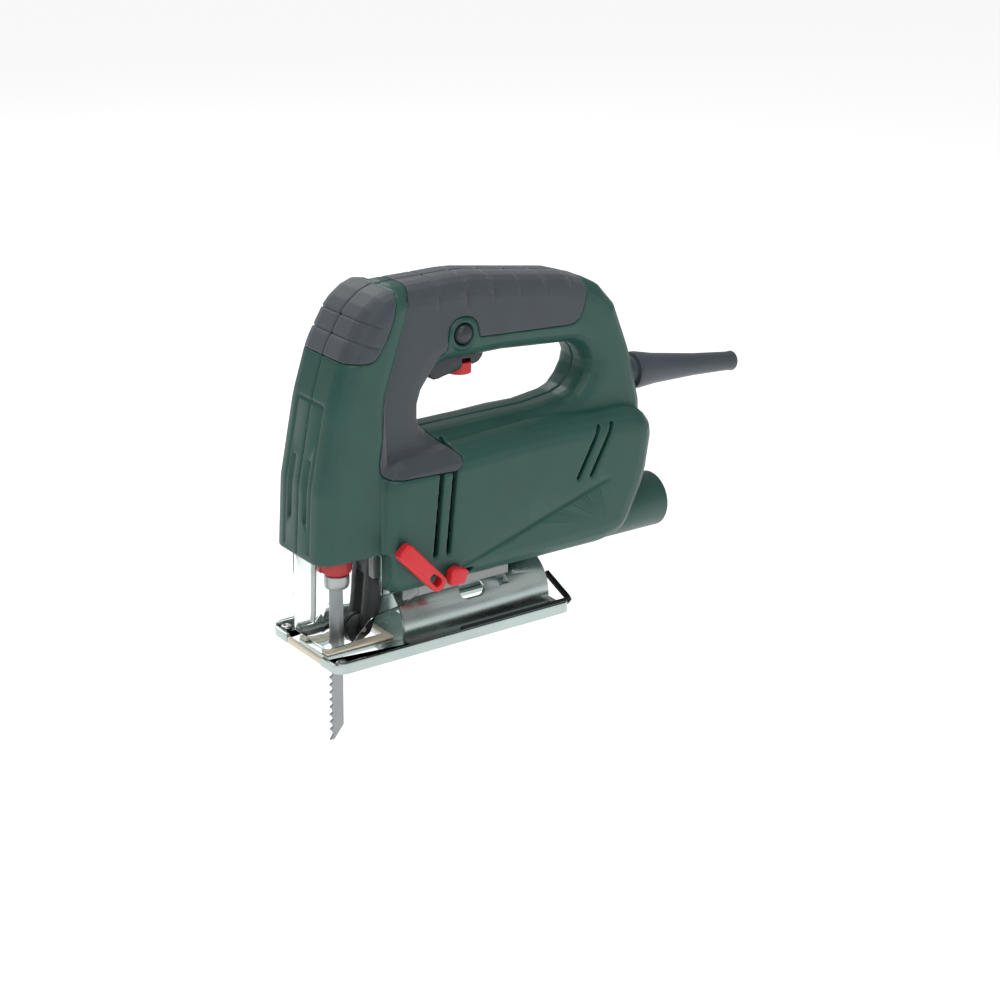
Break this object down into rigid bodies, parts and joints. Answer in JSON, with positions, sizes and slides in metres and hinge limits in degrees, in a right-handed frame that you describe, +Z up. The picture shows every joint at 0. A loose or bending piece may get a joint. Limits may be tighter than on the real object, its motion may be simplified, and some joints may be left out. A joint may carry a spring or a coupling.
{
  "type": "jigsaw power tool",
  "caption": "Corded hand-held jigsaw with a closed D handle, tilting base, guided reciprocating blade and the motor and gearing inside",
  "frame": {"origin": "on the underside plane of the base plate, midway along its length and across its width", "axes": "+X to the rear of the tool, where the cord leaves, -X to the cutting side, +Y to the tool's far side from the viewer (the blade's back is towards +X), +Z up out of the work"},
  "size_m": [0.3255, 0.0782, 0.2739],
  "materials": {
    "green_housing": "fine matte moulded texture",
    "dark_soft_grip": "matte soft-touch rubber",
    "red_plastic": "satin moulded plastic",
    "black_plastic": "moulded",
    "cable_rubber": "matte rubber",
    "zinc_plated_steel": "bright zinc plate",
    "machined_steel": "machined",
    "blackened_steel": "black oxide",
    "cast_alloy": "as cast",
    "copper_winding": "enamelled copper",
    "brass": "stamped",
    "sintered_bronze": "sintered",
    "carbon": "pressed carbon",
    "natural_plastic": "cream moulded plastic",
    "clear_polycarbonate": "clear moulded"
  },
  "bodies": {
    "housing": {"housing_left": "green_housing", "housing_right": "green_housing", "dust_port": "green_housing", "handle_grip_left": "dark_soft_grip", "handle_grip_right": "dark_soft_grip", "front_grip_left": "dark_soft_grip", "front_grip_right": "dark_soft_grip", "switch_unit": "black_plastic", "speed_electronics": "black_plastic", "cable_clamp": "black_plastic", "suction_duct": "black_plastic", "cable_sleeve": "cable_rubber", "housing_screw_1": "zinc_plated_steel", "housing_screw_2": "zinc_plated_steel", "housing_screw_3": "zinc_plated_steel", "housing_screw_4": "zinc_plated_steel", "housing_screw_5": "zinc_plated_steel", "housing_screw_6": "zinc_plated_steel", "field_stator": "machined_steel", "rear_bearing": "machined_steel", "front_bearing": "machined_steel", "fork_pin": "machined_steel", "finger_guard": "machined_steel", "base_clamp_screw": "machined_steel", "gear_case": "cast_alloy", "fork_carrier": "cast_alloy", "base_saddle": "cast_alloy", "brush_holder_left": "brass", "brush_holder_right": "brass", "plunger_bush_upper": "sintered_bronze", "plunger_bush_lower": "sintered_bronze", "carbon_brush_left": "carbon", "carbon_brush_right": "carbon", "chip_guard": "clear_polycarbonate"},
    "base": {"base_plate": "zinc_plated_steel", "tilt_barrel": "zinc_plated_steel", "sole_insert": "natural_plastic", "sole_front_strip": "natural_plastic", "base_bolt_left": "zinc_plated_steel", "base_bolt_right": "zinc_plated_steel"},
    "key": {"allen_key": "blackened_steel"},
    "armature": {"armature_shaft": "machined_steel", "armature_core": "machined_steel", "armature_winding": "copper_winding", "commutator": "copper_winding", "cooling_fan": "black_plastic"},
    "crank": {"crank_gear": "machined_steel"},
    "ram": {"plunger": "machined_steel", "blade_clamp": "machined_steel", "saw_blade": "machined_steel"},
    "blade_release": {"clamp_lever": "red_plastic"},
    "fork": {"guide_fork": "blackened_steel", "roller_pin": "machined_steel"},
    "roller": {"guide_roller": "blackened_steel"},
    "switch_trigger": {"trigger": "dark_soft_grip", "trigger_spring": "machined_steel"},
    "wheel": {"speed_wheel": "red_plastic"},
    "button": {"lock_button": "dark_soft_grip"},
    "pendulum": {"pendulum_lever": "red_plastic"},
    "blower": {"blower_slider": "red_plastic"}
  },
  "joints": [
    {"name": "base_tilt", "type": "hinge", "parent": "housing", "child": "base", "pos_m": [0.02, 0, 0.008], "axis": [1, 0, 0], "range_deg": [-45, 45]},
    {"name": "key_slide", "type": "slide", "parent": "base", "child": "key", "axis": [1, 0, 0], "range_m": [0, 0.06]},
    {"name": "armature_spin", "type": "hinge", "parent": "housing", "child": "armature", "pos_m": [0.02, 0, 0.082], "axis": [1, 0, 0], "continuous": true},
    {"name": "crank_spin", "type": "hinge", "parent": "housing", "child": "crank", "pos_m": [-0.049, 0, 0.109], "axis": [1, 0, 0], "continuous": true},
    {"name": "blade_stroke", "type": "slide", "parent": "housing", "child": "ram", "axis": [0, 0, 1], "range_m": [-0.008, 0.01]},
    {"name": "blade_release_turn", "type": "hinge", "parent": "ram", "child": "blade_release", "pos_m": [-0.061, 0, 0.051], "axis": [0, 0, 1], "range_deg": [0, 50], "stiffness_Nm_per_rad": 0.02},
    {"name": "fork_swing", "type": "hinge", "parent": "housing", "child": "fork", "pos_m": [-0.038, 0, 0.048], "axis": [0, 1, 0], "range_deg": [-2.8, 0]},
    {"name": "roller_spin", "type": "hinge", "parent": "fork", "child": "roller", "pos_m": [-0.0473, 0, 0.0095], "axis": [0, 1, 0], "continuous": true},
    {"name": "trigger_press", "type": "hinge", "parent": "housing", "child": "switch_trigger", "pos_m": [-0.0025, 0, 0.171], "axis": [0, -1, 0], "range_deg": [0, 5.7], "stiffness_Nm_per_rad": 3, "springref_deg": -5.73},
    {"name": "speed_wheel_turn", "type": "hinge", "parent": "switch_trigger", "child": "wheel", "pos_m": [0.024, 0, 0.1555], "axis": [0, 0, 1], "range_deg": [-137, 137]},
    {"name": "lock_press", "type": "slide", "parent": "housing", "child": "button", "axis": [0, 1, 0], "range_m": [0, 0.003], "stiffness_N_per_m": 400, "springref_m": -0.002},
    {"name": "pendulum_set", "type": "hinge", "parent": "housing", "child": "pendulum", "pos_m": [-0.036, -0.038, 0.063], "axis": [0, 1, 0], "range_deg": [0, 63]},
    {"name": "blower_set", "type": "slide", "parent": "housing", "child": "blower", "axis": [1, 0, 0], "range_m": [0, 0.01]}
  ],
  "couplings": [
    {"joint": "crank_spin", "follows": "armature_spin", "ratio": -0.33333}
  ]
}
